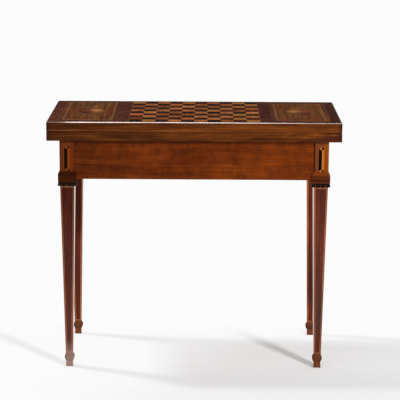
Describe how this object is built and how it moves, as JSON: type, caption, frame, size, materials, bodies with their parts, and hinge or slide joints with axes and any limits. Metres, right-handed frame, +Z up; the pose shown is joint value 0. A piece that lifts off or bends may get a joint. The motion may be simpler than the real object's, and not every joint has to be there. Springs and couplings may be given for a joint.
{
  "type": "games table",
  "caption": "Fold-over games table with an inlaid board on its closed top, two fixed front legs and two back legs that swing out on fly rails.",
  "frame": {"origin": "on the floor, under the middle of the closed table's bounding box", "axes": "+X to the right as seen from the front, along the table's length; +Y to the back, where the leaves are hinged; +Z up"},
  "size_m": [0.87, 0.4218, 0.756],
  "materials": {
    "carcass_wood": "unfinished beech and deal",
    "leaf_edge": "polished dark mahogany edge",
    "crossband": "polished purplewood, grain across",
    "panel_border": "polished kingwood",
    "panel_field": "polished figured veneer",
    "light_line": "polished box stringing",
    "dark_square": "polished dark veneer",
    "light_square": "polished light veneer",
    "medallion_rim": "polished light inlay",
    "medallion_ground": "polished orange-brown inlay",
    "medallion_petal": "polished sand-shaded inlay",
    "apron_veneer": "polished mahogany veneer, grain along",
    "leg_veneer": "polished mahogany veneer",
    "leg_strip": "polished purplewood strip",
    "leg_line": "polished box stringing",
    "flute_light": "polished sand-shaded box inlay",
    "moulding": "polished dark moulding",
    "ebonised": "ebonised pear",
    "baize": "green woollen baize",
    "brass": "dull brass",
    "steel": "old iron screws and pins"
  },
  "bodies": {
    "frame": {"apron_veneers": "apron_veneer", "centre_back_rail": "carcass_wood", "fixing_blocks": "carcass_wood", "fixing_screws": "steel", "front_left_leg": "leg_veneer", "front_legs_centre_strips": "leg_strip", "front_legs_flute_lights": "flute_light", "front_legs_flute_shadows": "ebonised", "front_legs_guttae": "ebonised", "front_legs_mouldings": "moulding", "front_legs_stringing": "leg_line", "front_rail": "carcass_wood", "front_right_leg": "leg_veneer", "hinge_lower_flaps": "brass", "hinge_lower_screws": "brass", "hinge_pins": "brass", "inner_back_rail": "carcass_wood", "knuckle_pins": "steel", "left_side_rail": "carcass_wood", "lower_leaf_baize": "baize", "lower_leaf_core": "carcass_wood", "lower_leaf_inner_band": "crossband", "lower_leaf_lipping": "leaf_edge", "rail_screws": "steel", "right_side_rail": "carcass_wood"},
    "upper_leaf": {"board_dark_squares": "dark_square", "board_light_squares": "light_square", "board_stringing": "light_line", "hinge_upper_flaps": "brass", "hinge_upper_screws": "brass", "medallion_grounds": "medallion_ground", "medallion_petals": "medallion_petal", "medallion_rims": "medallion_rim", "panel_borders": "panel_border", "panel_fields": "panel_field", "panel_stringing": "light_line", "top_crossbanding": "crossband", "upper_leaf_baize": "baize", "upper_leaf_core": "carcass_wood", "upper_leaf_inner_band": "crossband", "upper_leaf_lipping": "leaf_edge"},
    "left_gate": {"rear_left_centre_strips": "leg_strip", "rear_left_flute_lights": "flute_light", "rear_left_flute_shadows": "ebonised", "rear_left_fly_rail": "carcass_wood", "rear_left_guttae": "ebonised", "rear_left_leg": "leg_veneer", "rear_left_mouldings": "moulding", "rear_left_stringing": "leg_line"},
    "right_gate": {"rear_right_centre_strips": "leg_strip", "rear_right_flute_lights": "flute_light", "rear_right_flute_shadows": "ebonised", "rear_right_fly_rail": "carcass_wood", "rear_right_guttae": "ebonised", "rear_right_leg": "leg_veneer", "rear_right_mouldings": "moulding", "rear_right_stringing": "leg_line"}
  },
  "joints": [
    {"name": "leaf_fold", "type": "hinge", "parent": "frame", "child": "upper_leaf", "pos_m": [0, 0.20738, 0.7274], "axis": [-1, 0, 0], "range_deg": [0, 180]},
    {"name": "left_gate_swing", "type": "hinge", "parent": "frame", "child": "left_gate", "pos_m": [-0.105, 0.16412, 0.64], "axis": [0, 0, -1], "range_deg": [0, 90]},
    {"name": "right_gate_swing", "type": "hinge", "parent": "frame", "child": "right_gate", "pos_m": [0.105, 0.16412, 0.64], "axis": [0, 0, 1], "range_deg": [0, 90]}
  ]
}
